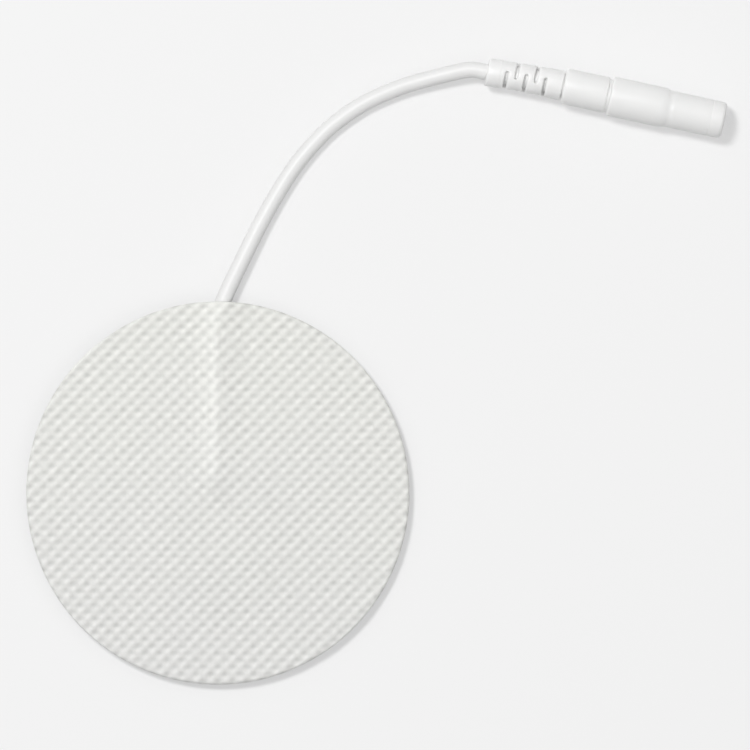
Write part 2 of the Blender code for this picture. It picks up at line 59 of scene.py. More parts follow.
class Wire:
    def __init__(self, board, socket):
        self.board = board
        self.socket = socket

    def sum(self, operation, first, second):
        return self.board.node("ShaderNodeMath", {"operation": operation}, {0: first, 1: second})

    def __add__(self, other):
        return self.sum("ADD", self, other)

    def __radd__(self, other):
        return self.sum("ADD", other, self)

    def __sub__(self, other):
        return self.sum("SUBTRACT", self, other)

    def __rsub__(self, other):
        return self.sum("SUBTRACT", other, self)

    def __mul__(self, other):
        return self.sum("MULTIPLY", self, other)

    def __rmul__(self, other):
        return self.sum("MULTIPLY", other, self)


class Board:                                                # a node tree that takes wires and numbers alike
    def __init__(self, tree):
        self.tree = tree

    def node(self, kind, settings, inputs, output=0):
        made = self.tree.nodes.new(kind)
        for key, setting in settings.items():
            setattr(made, key, setting)
        for key, source in inputs.items():
            self.feed(made.inputs[key], source)
        return Wire(self, made.outputs[output])

    def feed(self, socket, source):
        if isinstance(source, Wire):
            self.tree.links.new(source.socket, socket)
        else:
            socket.default_value = source

    def seen(self):                                         # 1 for the camera, in gloss and through gel
        rays = ("Is Camera Ray", "Is Glossy Ray", "Is Transmission Ray")
        straight, mirrored, through = [self.node("ShaderNodeLightPath", {}, {}, ray) for ray in rays]
        return self.node("ShaderNodeMath", {"operation": "ADD", "use_clamp": True},
                         {0: straight + mirrored, 1: through})


class Paint(Board):
    def __init__(self, name, fixed):
        self.material = bpy.data.materials.new(name)
        self.material.use_nodes = True
        super().__init__(self.material.node_tree)
        self.shader = self.tree.nodes["Principled BSDF"]
        for socket, amount in fixed.items():
            self.shader.inputs[socket].default_value = amount

    def place(self):                                        # object coordinates in millimetres
        coords = self.node("ShaderNodeTexCoord", {}, {}, "Object")
        return self.node("ShaderNodeVectorMath", {"operation": "SCALE"}, {0: coords, "Scale": 1 / mm})

    def axis(self, vector, letter):
        return self.node("ShaderNodeSeparateXYZ", {}, {0: vector}, letter)

    def grain(self, vector, perMillimetre, detail=2.0, roughness=0.5):
        return self.node("ShaderNodeTexNoise", {}, {"Vector": vector, "Scale": perMillimetre,
                                                    "Detail": detail, "Roughness": roughness})

    def wave(self, phase):                                  # 0 to 1 and back for each turn of the phase
        turning = self.node("ShaderNodeMath", {"operation": "COSINE"}, {0: phase * (2 * math.pi)})
        return turning * -0.5 + 0.5

    def mix(self, settings, share, first, second):          # 6, 7 and 2 are a Mix node's colour sockets
        return self.node("ShaderNodeMix", {"data_type": "RGBA", **settings},
                         {"Factor": share, 6: first, 7: second}, 2)

    def tint(self, share, first, second):
        return self.mix({}, share, (*first, 1.0), (*second, 1.0))

    def times(self, first, second):                         # one colour multiplied by another
        return self.mix({"blend_type": "MULTIPLY"}, 1.0, first, second)

    def relief(self, height, depth):
        bumped = self.node("ShaderNodeBump", {}, {"Strength": 1.0, "Distance": depth, "Height": height})
        self.feed(self.shader.inputs["Normal"], bumped)

    def color(self, source):
        self.feed(self.shader.inputs["Base Color"], source)

    def roughness(self, source):
        self.feed(self.shader.inputs["Roughness"], source)


# Small helpers for pieces

def meshOf(bm, name):
    mesh = bpy.data.meshes.new(name)
    bm.to_mesh(mesh)
    bm.free()
    return mesh


def finishPiece(name, data, paint, nodes, sharpAngle=math.radians(40)):
    piece = bpy.data.objects.new(name, data)
    bpy.context.scene.collection.objects.link(piece)
    data.materials.clear()
    data.materials.append(paint.material)
    if piece.type == "MESH":
        data.shade_smooth()
        data.set_sharp_from_angle(angle=sharpAngle)
    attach(piece, root)
    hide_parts(*nodes)
    return piece


def smoothStep(low, high, x):
    share = min(1.0, max(0.0, (x - low) / (high - low)))
    return share * share * (3 - 2 * share)


# Camera: straight down on the pad, lead and connector, with a long lens

studio = {
    "viewCentre": (20.5 * mm, 15.4 * mm),
    "viewWidth": 98 * mm,
    "cameraHeight": 1.3,
    "sensorWidth": 36,                                      # in millimetres, as the lens is
    "floorColor": (0.85, 0.85, 0.85),
    "floorGlow": (0.885, 0.885, 0.885),
    "glowShare": 0.50,                                      # how far the camera sees a plain pale floor
    "floorSize": 3.0,
    "floorRoughness": 0.9,
    "skyLow": 0.07,                                         # the sky's light at the horizon
    "skyRise": 0.525,                                       # and how much more comes from straight above
    "skySeen": 0.90,                                        # what the camera and glosses see instead
    "keyPower": 8.1,
    "keySize": 0.22,
    "keyPlace": (-0.31, 0.36, 1.0),
    "fillPower": 1.3,
    "fillSize": 0.9,
    "fillPlace": (0.7, -0.5, 0.9),
}


def makeCamera():
    camera = bpy.data.objects.new("camera", bpy.data.cameras.new("camera"))
    camera.location = (*studio["viewCentre"], studio["cameraHeight"])
    camera.data.sensor_width = studio["sensorWidth"]
    camera.data.lens = camera.data.sensor_width * studio["cameraHeight"] / studio["viewWidth"]
    bpy.context.scene.collection.objects.link(camera)
    bpy.context.scene.camera = camera


makeCamera()
print("camera ready")


# Lead: one white insulated wire, drawn in three runs, in the pad, free, and in the strain relief

padLow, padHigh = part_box("fabric_backing")
padRadius = padHigh.x
leadLow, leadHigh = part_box("lead_pad_end")
leadRadius = (leadHigh.z - leadLow.z) / 2
leadLevel = (leadHigh.z + leadLow.z) / 2
leadStop = leadLow.y                                        # where the insulation ends, near the centre
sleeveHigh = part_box("connector_sleeve")[1]
mouth = next(mount for mount in frame["record"]["mounts"] if mount["name"] == "pin_mouth")

lead = {
    "sideOffset": -0.4 * mm,
    "swing": 1.1 * mm,                                      # how far it swings aside before the rim
    "swingLength": 5 * mm,
    "coverInside": 0.7 * mm,                                # the free run starts this far inside the rim
    "coverSleeve": 1.2 * mm,                                # and ends this far inside the collar
    "straightEnd": 1.8 * mm,                                # straight out of the rim, and into the collar
    "cordGap": 0.3 * mm,
    "spacing": 0.5 * mm,                                    # between the points of the smooth route
    "hair": 0.01 * mm,                                      # between two runs of the one wire, hidden
    "strippedAt": 12.9 * mm,                                # where the insulation ends in the connector
    "routeSteps": 24,
    "roundSteps": 7,
    "bendSteps": 14,
    "sleeveSteps": 26,
    "exitInside": 0.2 * mm,                                 # the route proper starts this far inside the rim
    # chosen points of the route, in millimetres
    "route": [(3.43, 30.87, 1.40), (5.91, 35.81, 1.20), (8.77, 40.72, 1.09), (11.36, 44.30, 1.06),
              (14.78, 47.83, 1.06), (19.05, 50.82, 1.12), (23.58, 52.86, 1.28), (27.19, 53.95, 1.52),
              (30.60, 54.80, 1.82)],
}

connector = {
    "length": 31.6 * mm,
    "collarLength": 1.8 * mm,
    "collarRadius": 1.85 * mm,
    "reliefLength": 10.2 * mm,
    "reliefStartRadius": 1.8 * mm,
    "reliefEndRadius": 1.95 * mm,
    "neckWidth": 0.22 * mm,                                 # groove between strain relief and shoulder
    "neckDepth": 0.30 * mm,
    "shoulderEnd": 15.95 * mm,
    "shoulderRadius": 2.35 * mm,
    "seamWidth": 0.38 * mm,
    "seamDepth": 0.2 * mm,
    "gripEnd": 23.4 * mm,
    "gripRadius": 2.6 * mm,
    "gripTaper": 0.8 * mm,
    "noseRadius": 2.4 * mm,
    "beadHeight": 0.04 * mm,                                # soft bead where the nose starts
    "beadLength": 1.1 * mm,
    "tipLine": 1.85 * mm,                                   # fine ring before the mouth
    "tipLineWidth": 0.2 * mm,
    "tipLineDepth": 0.05 * mm,
    "mouthRadius": 1.2 * mm,
    "mouthChamfer": 0.25 * mm,
    "leadClearance": 0.05 * mm,
    "mouthRounding": 0.6 * mm,                              # roundings of the profile's corners
    "edgeRounding": 0.3 * mm,
    "gripRounding": 0.4 * mm,
    "beadFoot": 0.4 * mm,
    "beadTop": 0.2 * mm,
    "beadStart": 0.25 * mm,
    "neckEdge": 0.12 * mm,
    "reliefRounding": 0.1 * mm,
    "mouthEdge": 0.08 * mm,
    "boreEdge": 0.06 * mm,
    "innerEdge": 0.05 * mm,
    "fineEdge": 0.04 * mm,
    "collarEdge": 0.15 * mm,                                # the collar's last stretch, drawn in
    "sharpAngle": math.radians(38),                         # past this an edge is shaded as a crease
    "spinSteps": 96,
    "roundSteps": 5,
    "sideBend": 0.35 * mm,
    "sag": 0.4 * mm,
    "windowCount": 5,
    "windowStart": 2.6 * mm,
    "windowStep": 1.275 * mm,
    "windowLength": 0.42 * mm,
    "windowSweep": math.radians(61),                        # half of its turn round the axis
    "windowFloor": 1.28 * mm,                               # radius of its floor, just over the lead
    "windowRoll": math.radians(45),
    "windowLip": 0.22 * mm,                                 # its rounded upper edges
    "windowSteps": 28,
    "windowEnd": 0.14,                                      # share of the sweep that its ends round off
    "windowEndWidth": 0.15,                                 # narrowest there, as a share of its width
    "windowEndRise": 2,                                     # how much faster it gets deep than wide
    "lipSteps": 5,
    "knifeReach": 1 * mm,
    "knifeLift": 0.01 * mm,
}
axisAlong = Vector(mouth["axis"]).normalized()
axisAside = Vector((-axisAlong.y, axisAlong.x, 0))
connectorLevel = sleeveHigh.z - connector["gripRadius"]
mouthCentre = Vector((mouth["pos_m"][0], mouth["pos_m"][1], connectorLevel))
connectorStart = mouthCentre - axisAlong * connector["length"]


def leadSwing(y):
    return max(0.0, y - (padRadius - lead["swingLength"])) / lead["swingLength"]


def leadPoint(y):
    return Vector((lead["sideOffset"] + lead["swing"] * leadSwing(y) ** 2, y, leadLevel))


def leadLean(y):
    return 2 * lead["swing"] * leadSwing(y) / lead["swingLength"]


def reliefBend(along):                                      # how the soft strain relief sags and bends
    share = max(0.0, connector["reliefLength"] - along) / connector["reliefLength"]
    return connector["sag"] * share ** 2, -connector["sideBend"] * share ** 2


def axisPoint(along):
    down, aside = reliefBend(along)
    return connectorStart + axisAlong * along + axisAside * aside - Vector((0, 0, down))


def smoothRoute(points, spacing):                           # evenly spaced points on a smooth curve
    points = [2 * points[0] - points[1], *points, 2 * points[-1] - points[-2]]
    steps = lead["routeSteps"]
    fine = []
    for a, b, c, d in zip(points, points[1:], points[2:], points[3:]):
        for step in range(steps):
            t = step / steps
            fine.append(0.5 * (2 * b + (c - a) * t + (2 * a - 5 * b + 4 * c - d) * t ** 2
                               + (3 * b - a - 3 * c + d) * t ** 3))
    fine.append(points[-2])
    runs = [0.0]
    for first, second in zip(fine, fine[1:]):
        runs.append(runs[-1] + (second - first).length)
    count = round(runs[-1] / spacing)
    even = []
    place = 0
    for index in range(count + 1):
        wanted = runs[-1] * index / count
        while place < len(fine) - 2 and runs[place + 1] < wanted:
            place += 1
        share = (wanted - runs[place]) / (runs[place + 1] - runs[place])
        even.append(fine[place].lerp(fine[place + 1], share))
    return even


def tube(name, points, radius):
    curve = bpy.data.curves.new(name, "CURVE")
    curve.dimensions = "3D"
    curve.bevel_depth = radius
    curve.bevel_resolution = lead["roundSteps"]
    curve.use_fill_caps = True
    spline = curve.splines.new("POLY")
    spline.points.add(len(points) - 1)
    for target, point in zip(spline.points, points):
        target.co = (*point, 1.0)
    spline.use_smooth = True
    return curve


jacket = {
    "tones": [(0.75, 0.75, 0.745), (0.78, 0.78, 0.775)],
    # painted light: the lead inside the strain relief is a lighter copy of the jacket, to lift the shade in
    # its windows
    "paintedLightTones": [(0.90, 0.90, 0.89), (0.93, 0.93, 0.92)],
    "cloudGrain": 0.35,                                     # every grain is a count for each millimetre
    "fineGrain": 9.0,
    "swellGrain": 2.2,
    "swellShare": 0.6,
    "lowestRoughness": 0.36,
    "moreRoughness": 0.14,
    "reliefDepth": 0.006 * mm,
}


def makeJacketPaint(name, tones):
    paint = Paint(name, {"IOR": 1.5, "Specular IOR Level": 0.4})
    place = paint.place()
    cloudy = paint.grain(place, jacket["cloudGrain"], detail=3.0)
    fine = paint.grain(place, jacket["fineGrain"])
    paint.color(paint.tint(cloudy, *tones))
    paint.roughness(fine * jacket["moreRoughness"] + jacket["lowestRoughness"])
    swells = paint.grain(place, jacket["swellGrain"]) * jacket["swellShare"]
    paint.relief(fine + swells, jacket["reliefDepth"])
    return paint


jacketPaint = makeJacketPaint("white_lead_jacket", jacket["tones"])
# painted light: the lighter copy of the jacket, for the lead inside the strain relief
paintedLightJacketPaint = makeJacketPaint("lead_jacket_painted_lighter", jacket["paintedLightTones"])


def makeLead():
    insideY = padRadius - lead["coverInside"]
    rimY = padRadius - lead["exitInside"]
    wayOut = Vector((leadLean(rimY), 1, 0)).normalized()
    start = leadPoint(rimY)
    finish = axisPoint(-lead["cordGap"])
    wayIn = (axisPoint(0) - finish).normalized()
    chosen = [start, start + wayOut * lead["straightEnd"]]
    chosen += [Vector(point) * mm for point in lead["route"]]
    chosen += [finish - wayIn * lead["straightEnd"], finish]
    middle = smoothRoute(chosen, lead["spacing"])
    points = [leadPoint(insideY), *middle, axisPoint(0), axisPoint(lead["coverSleeve"] / 2),
              axisPoint(lead["coverSleeve"])]
    cord = finishPiece("lead_free_run", tube("lead_free_run", points, leadRadius), jacketPaint,
                       ["lead_cord"])

    stop = insideY - lead["hair"]
    inPad = [leadPoint(leadStop)]
    for step in range(lead["bendSteps"] + 1):
        inPad.append(leadPoint(stop - lead["swingLength"] * (1 - step / lead["bendSteps"])))
    finishPiece("lead_under_cloth", tube("lead_under_cloth", inPad, leadRadius), jacketPaint,
                ["lead_pad_end"])

    along = lead["coverSleeve"] + lead["hair"]
    inSleeve = []
    for step in range(lead["sleeveSteps"] + 1):
        inSleeve.append(axisPoint(along + (lead["strippedAt"] - along) * step / lead["sleeveSteps"]))
    finishPiece("lead_in_sleeve", tube("lead_in_sleeve", inSleeve, leadRadius), paintedLightJacketPaint,
                ["lead_connector_end"])
    length = sum((b - a).length for a, b in zip(points, points[1:]))
    return cord, points[0], length


cordPiece, cordExit, cordLength = makeLead()
print("lead laid, free run", round(cordLength / mm, 1), "mm")


# Cloth: woven with staggered raised dots that run together into ribs, drawn over the lead

cloth = {
    "cells": 256,
    "thickness": 0.35 * mm,
    "dotAcross": 1.89 * mm,
    "dotAlong": 1.81 * mm,
    "dotHeight": 0.20 * mm,
    # waves of the weave: counts across and along, share of the height, shift in degrees
    "swells": [(1, -1, 0.25, 0), (1, 1, 0.15, 0), (0, 2, 0.05, 0), (2, 0, 0.05, 0)],
    # painted shade: these tones darken the hollows between the dots, and the shifted waves make each dot
    # lighter on one side, as the lamp would
    "tones": [(1, -1, 0.22, 0), (1, 1, 0.10, 0), (0, 2, 0.08, -160), (2, 0, 0.03, -80)],
    "wander": 0.09 * mm,                                    # how far the weave strays from its lattice
    "wanderLength": 7 * mm,
    "wanderSeed": 7,
    "uneven": 0.5,                                       # how much some dots are higher than others
    "unevenLength": 1.1 * mm,
    "unevenPlane": 7 * mm,                                  # the height at which that noise is read
    "edgeDrop": 0.26 * mm,                                  # the cut edge is pressed down to a round
    "edgeWidth": 0.45 * mm,
    "edgeFlattening": 0.6,                                  # share of the dots that is lost there
    "slope": math.radians(28),                              # underneath, on both sides of the lead
    "drapeSlope": math.radians(19),                         # and on top
    "clearance": 0.1 * mm,
    "toe": 0.6 * mm,                                        # softness of the fold at the ridge's foot
    "endTaper": 0.75,
    # painted highlight along the lead's line, and painted light on the ridge's flanks that lifts their shade
    "ridgeHighlight": 0.17,
    "ridgeHighlightWidth": 0.62 * mm,
    "flankLift": 0.10,
    "flankLiftReach": (1.7 * mm, 2.9 * mm),
    "ridgeLightFrom": (-2 * mm, 6 * mm),
    "sharpAngle": math.radians(60),
}

noise.seed_set(cloth["wanderSeed"])                         # unseeded, the stray follows the clock

# Mound of the cloth over the strands that fan out past the lead's end
fan = {
    "length": 11 * mm,
    "spread": math.radians(44),
    "height": 0.3 * mm,
    "margin": 1.2 * mm,
    "reach": 2.2,
    "flatShare": 0.45,
}


def leadDistance(x, y):
    across = abs(x - leadPoint(y).x) * math.cos(math.atan(leadLean(y)))
    pastEnd = max(0.0, leadStop - y)
    return math.hypot(across, pastEnd * cloth["endTaper"])


def tent(distance, centreHeight, radius, slope):            # a sheet drawn over a round rod
    touch = radius * math.sin(slope)
    if distance <= touch:
        return centreHeight + math.sqrt(radius ** 2 - distance ** 2)
    return centreHeight + radius * math.cos(slope) - (distance - touch) * math.tan(slope)


def softMax(first, second, width):
    gap = max(0.0, width - abs(first - second)) / width
    return max(first, second) + gap * gap * width / 4


def fanMound(x, y):
    middle = leadStop - fan["length"] / 2
    halfLength = (fan["length"] / 2 + fan["margin"]) * fan["reach"]
    halfWidth = (fan["length"] * math.sin(fan["spread"] / 2) + fan["margin"]) * fan["reach"]
    off = math.hypot((x - lead["sideOffset"]) / halfWidth, (y - middle) / halfLength)
    return fan["height"] * (1 - smoothStep(fan["flatShare"], 1.0, off))


def clothRise(x, y, level, radius, toe):
    overLead = tent(leadDistance(x, y), leadLevel - level, radius, cloth["drapeSlope"])
    return softMax(overLead, fanMound(x, y), toe)


def weave(x, y, waves):                                     # staggered dots, about 0 to 1 high
    stray = noise.noise_vector(Vector((x, y, 0)) / cloth["wanderLength"]) * cloth["wander"]
    u = (x + stray.x) / cloth["dotAcross"]
    v = (y + stray.y) / cloth["dotAlong"]
    spot = Vector((x, y, cloth["unevenPlane"])) / cloth["unevenLength"]
    uneven = 1 + cloth["uneven"] * noise.noise(spot)
    sums = sum(share * math.cos(2 * math.pi * (across * u + along * v) + math.radians(shift))
               for across, along, share, shift in waves)
    return 0.5 + sums * uneven


# painted light: a highlight along the lead and a lift over the ridge's flanks, fading in between y = -2 and
# 6 mm
def paintedRidgeLight(x, y):
    distance = leadDistance(x, y)
    line = cloth["ridgeHighlight"] * math.exp(-(distance / cloth["ridgeHighlightWidth"]) ** 2)
    flank = cloth["flankLift"] * (1 - smoothStep(*cloth["flankLiftReach"], distance))
    return (line + flank) * smoothStep(*cloth["ridgeLightFrom"], y)


def roundSheet(radius, cells):                              # a square grid eased out to a round one
    bm = bmesh.new()
    bmesh.ops.create_grid(bm, x_segments=cells, y_segments=cells, size=1.0)
    for vert in bm.verts:
        u, v = vert.co.x, vert.co.y
        vert.co.x = radius * u * math.sqrt(1 - v * v / 2)
        vert.co.y = radius * v * math.sqrt(1 - u * u / 2)
    return bm


def thicken(bm, lowHeight, highHeight, flatLevel):          # close the sheet between two surfaces
    grown = bmesh.ops.extrude_face_region(bm, geom=bm.faces[:])["geom"]
    upper = {item for item in grown if isinstance(item, bmesh.types.BMVert)}
    for vert in bm.verts:
        vert.co.z = (highHeight if vert in upper else lowHeight)(vert.co.x, vert.co.y)
    bmesh.ops.recalc_face_normals(bm, faces=bm.faces)
    flat = [face for face in bm.faces if all(abs(vert.co.z - flatLevel) < tiny for vert in face.verts)]
    bmesh.ops.dissolve_faces(bm, faces=flat, use_verts=True)
    return upper


clothLook = {
    "baseTones": [(0.873, 0.871, 0.861), (0.925, 0.93, 0.886)],     # greyer and darker at the foot, lighter and warmer towards the lead's exit; the change along y is painted light
    "baseStart": 0.3,
    "paintedFalloffRise": 0.012,                                      # painted light: lighter for each millimetre towards the lead's exit, as the key lamp's falloff
    "patchGrain": 0.06,
    "patchShare": 0.4,
    "dotShadeTones": [(0.65, 0.65, 0.645), (1.01, 1.01, 1.01)],        # painted shade between the dots, full tone on them
    "yarnTones": [(0.88, 0.88, 0.88), (1.12, 1.12, 1.12)],
    "yarnGrain": 1.5,
    "fibreTones": [(0.95, 0.95, 0.95), (1.04, 1.04, 1.04)],
    "fibreGrain": 7.0,
    "fibreShare": 0.6,
    "threadsRising": 2.3,                                   # turns for each millimetre
    "threadsFalling": 2.6,
    "threadShare": 0.25,
    "threadHeight": 0.7,
    "rippleGrain": 1.6,
    "rippleShare": 0.5,
    "lowestRoughness": 0.8,
    "moreRoughness": 0.1,
    "reliefDepth": 0.05 * mm,
}


def makeClothPaint():
    c = clothLook
    paint = Paint("woven_cloth", {"Sheen Weight": 0.12, "Sheen Roughness": 0.6, "IOR": 1.45,
                                  "Specular IOR Level": 0.25})
    place = paint.place()
    painted_shade_and_light = paint.node("ShaderNodeAttribute", {"attribute_name": "painted_shade_and_light"}, {}, "Fac")
    x = paint.axis(place, "X")
    y = paint.axis(place, "Y")
    ripple = paint.grain(place, c["rippleGrain"]) * c["rippleShare"]
    rising = paint.wave((x + y) * c["threadsRising"] + ripple)
    falling = paint.wave((x - y) * c["threadsFalling"] + ripple)
    threads = rising * falling
    fibres = paint.grain(place, c["fibreGrain"], detail=3.0, roughness=0.65)
    patch = paint.grain(place, c["patchGrain"], detail=1.0) * c["patchShare"]
    # painted light: the base tone rises along y as the key lamp's falloff, over a random patchy tone
    base = paint.tint(patch + y * c["paintedFalloffRise"] + c["baseStart"], *c["baseTones"])
    woven = paint.times(base, paint.tint(painted_shade_and_light, *c["dotShadeTones"]))
    spun = paint.grain(place, c["yarnGrain"], detail=3.0, roughness=0.6)
    yarn = paint.times(woven, paint.tint(spun, *c["yarnTones"]))
    strewn = fibres * c["fibreShare"] + threads * c["threadShare"]
    paint.color(paint.times(yarn, paint.tint(strewn, *c["fibreTones"])))
    paint.roughness(fibres * c["moreRoughness"] + c["lowestRoughness"])
    paint.relief(threads * c["threadHeight"] + fibres, c["reliefDepth"])
    return paint


def makeCloth():
    bottom = padLow.z
    top = bottom + cloth["thickness"]
    innerReach = leadRadius + cloth["clearance"]
    outerReach = innerReach + cloth["thickness"]

    def under(x, y):
        return bottom + max(0.0, tent(leadDistance(x, y), leadLevel - bottom, innerReach, cloth["slope"]),
                            fanMound(x, y))

    def over(x, y):
        inwards = min(1.0, max(0.0, padRadius - math.hypot(x, y)) / cloth["edgeWidth"])
        sunk = 1 - math.sqrt(1 - (1 - inwards) ** 2)
        dots = cloth["dotHeight"] * weave(x, y, cloth["swells"]) * (1 - cloth["edgeFlattening"] * sunk)
        return top + clothRise(x, y, top, outerReach, cloth["toe"]) + dots - cloth["edgeDrop"] * sunk

    bm = roundSheet(padRadius, cloth["cells"])
    painted_shade_and_light = bm.verts.layers.float.new("painted_shade_and_light")
    upper = thicken(bm, under, over, bottom)
    for vert in bm.verts:
        if vert in upper:
            # painted shade of the weave and painted highlight of the ridge, kept on each vertex
            vert[painted_shade_and_light] = weave(vert.co.x, vert.co.y, cloth["tones"]) + paintedRidgeLight(vert.co.x, vert.co.y)
    piece = finishPiece("cloth_backing", meshOf(bm, "cloth_backing"), makeClothPaint(),
                        ["fabric_backing"], cloth["sharpAngle"])


# Carbon film and gel under the cloth, with the trough that the lead presses into them

filmLow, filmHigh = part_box("carbon_film")
gelLow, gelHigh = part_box("hydrogel")
layers = {
    "filmThickness": 0.12 * mm,
    "glueLine": 0.05 * mm,
    "filmCells": 150,
    "filmTones": [(0.014, 0.014, 0.015), (0.032, 0.032, 0.034)],
    "filmGrain": 5.0,
    "filmLowestRoughness": 0.32,
    "filmMoreRoughness": 0.2,
    "filmRelief": 0.01 * mm,
    "gelCells": 120,
    "gelRounding": 0.22 * mm,
    "gelRoundSteps": 3,
    "gelEdgeAngle": math.radians(60),                       # edges sharper than this are rounded
    "gelTones": [(0.86, 0.88, 0.86), (0.93, 0.94, 0.92)],
    "gelClouds": 0.5,
    "gelSmears": 1.5,
    "gelLowestRoughness": 0.06,
    "gelMoreRoughness": 0.1,
    "gelSwells": 2.5,
    "gelSwellShare": 0.4,
    "gelRelief": 0.02 * mm,
    "troughSlope": math.radians(52),
}


def filmDip(x, y, level, radius):
    return max(0.0, tent(leadDistance(x, y), level - leadLevel, radius, layers["troughSlope"]))


def makeFilm():
    paint = Paint("carbon_film", {"IOR": 1.5, "Specular IOR Level": 0.5})
    place = paint.place()
    specks = paint.grain(place, layers["filmGrain"], detail=3.0)
    paint.color(paint.tint(specks, *layers["filmTones"]))
    paint.roughness(specks * layers["filmMoreRoughness"] + layers["filmLowestRoughness"])
    paint.relief(specks, layers["filmRelief"])
    top = filmHigh.z
    bottom = top - layers["filmThickness"]
    reach = leadRadius + cloth["clearance"]
    bm = roundSheet(filmHigh.x, layers["filmCells"])
    thicken(bm, lambda x, y: bottom - filmDip(x, y, bottom, reach + layers["filmThickness"]),
            lambda x, y: top - filmDip(x, y, top, reach), bottom)
    finishPiece("carbon_film_layer", meshOf(bm, "carbon_film_layer"), paint, ["carbon_film"])


def makeGel():
    paint = Paint("clear_gel", {"Transmission Weight": 0.75, "IOR": 1.38})
    place = paint.place()
    clouds = paint.grain(place, layers["gelClouds"], detail=3.0)
    paint.color(paint.tint(clouds, *layers["gelTones"]))
    smears = paint.grain(place, layers["gelSmears"])
    paint.roughness(smears * layers["gelMoreRoughness"] + layers["gelLowestRoughness"])
    swells = paint.grain(place, layers["gelSwells"]) * layers["gelSwellShare"]
    paint.relief(clouds + swells, layers["gelRelief"])
    top = gelHigh.z
    reach = leadRadius + cloth["clearance"] + layers["filmThickness"] + layers["glueLine"]
    bm = roundSheet(gelHigh.x, layers["gelCells"])
    thicken(bm, lambda x, y: 0.0, lambda x, y: top - filmDip(x, y, top, reach), 0.0)
    rim = [edge for edge in bm.edges if edge.calc_face_angle(0) > layers["gelEdgeAngle"]]
    bmesh.ops.bevel(bm, geom=rim, offset=layers["gelRounding"], offset_type="OFFSET", affect="EDGES",
                    segments=layers["gelRoundSteps"], profile=0.5, material=-1)
    finishPiece("gel_layer", meshOf(bm, "gel_layer"), paint, ["hydrogel"])


makeGel()
makeFilm()
print("gel and film laid")
makeCloth()
print("cloth laid")


# Connector: a soft white moulding, turned, with windows in its strain relief

def layDown(bm):                                            # from upright on its own axis to where it lies
    for vert in bm.verts:
        down, aside = reliefBend(vert.co.z)
        centre = connectorStart + axisAlong * vert.co.z
        vert.co = centre + axisAside * (vert.co.y + aside) - Vector((0, 0, vert.co.x + down))


def spunMesh(corners, steps):                               # corners are radius, height and rounding
    bm = bmesh.new()
    verts = [bm.verts.new((radius, 0, height)) for radius, height, rounding in corners]
    for first, second in zip(verts, verts[1:] + verts[:1]):
        bm.edges.new((first, second))
    for vert, (radius, height, rounding) in zip(verts, corners):
        if rounding:
            bmesh.ops.bevel(bm, geom=[vert], offset=rounding, offset_type="OFFSET", affect="VERTICES",
                            segments=connector["roundSteps"], profile=0.5, material=-1)
    bmesh.ops.spin(bm, geom=bm.verts[:] + bm.edges[:], cent=(0, 0, 0), axis=(0, 0, 1),
                   angle=2 * math.pi, steps=steps, use_merge=True)
    bmesh.ops.remove_doubles(bm, verts=bm.verts, dist=tiny)
    bmesh.ops.recalc_face_normals(bm, faces=bm.faces)
    return bm


def cutWith(bm, cutter):
    piece = bpy.data.objects.new("blank", meshOf(bm, "blank"))
    knife = bpy.data.objects.new("knife", meshOf(cutter, "knife"))
    for thing in (piece, knife):
        bpy.context.scene.collection.objects.link(thing)
    cut = piece.modifiers.new("cut", "BOOLEAN")
    cut.operation = "DIFFERENCE"
    cut.object = knife
    cut.solver = "EXACT"
    graph = bpy.context.evaluated_depsgraph_get()
    done = bmesh.new()
    done.from_mesh(piece.evaluated_get(graph).to_mesh())
    for thing in (piece, knife):
        bpy.data.objects.remove(thing, do_unlink=True)
    bmesh.ops.remove_doubles(done, verts=done.verts, dist=tiny)
    return done


def windowKnife():                                          # slots round the axis, with soft lips and ends
    c = connector
    lip = c["windowLip"]
    widening = c["reliefEndRadius"] - c["reliefStartRadius"]
    bm = bmesh.new()
    for index in range(c["windowCount"]):
        height = c["windowStart"] + index * c["windowStep"]
        share = (height - c["collarLength"]) / (c["reliefLength"] - c["collarLength"])
        skin = c["reliefStartRadius"] + share * widening + c["knifeLift"]
        deepest = skin - lip - c["windowFloor"]
        for side in (0, math.pi):
            middle = c["windowRoll"] + index * math.pi / 2 + side
            rings = []
            for step in range(c["windowSteps"] + 1):
                turn = 2 * step / c["windowSteps"] - 1
                past = min(1.0, max(0.0, (abs(turn) - 1 + c["windowEnd"]) / c["windowEnd"]))
                endRound = math.sqrt(1 - past ** 2)
                half = c["windowLength"] / 2 * max(c["windowEndWidth"], endRound)
                floor = skin - lip - deepest * min(1.0, endRound * c["windowEndRise"])
                section = [(floor, half)]
                for part in range(c["lipSteps"] + 1):
                    lean = math.radians(90) * part / c["lipSteps"]
                    section.append((skin - lip + lip * math.sin(lean), half + lip * (1 - math.cos(lean))))
                section.append((skin + c["knifeReach"], half + lip))
                section += [(radius, -away) for radius, away in reversed(section)]
                angle = middle + turn * c["windowSweep"]
                cosine, sine = math.cos(angle), math.sin(angle)
                rings.append([bm.verts.new((radius * cosine, radius * sine, height + away))
                              for radius, away in section])
            for first, second in zip(rings, rings[1:]):
                for near, far in zip(range(len(first)), [*range(1, len(first)), 0]):
                    bm.faces.new((first[near], first[far], second[far], second[near]))
            bm.faces.new(reversed(rings[0]))
            bm.faces.new(rings[-1])
    bmesh.ops.recalc_face_normals(bm, faces=bm.faces)
    return bm


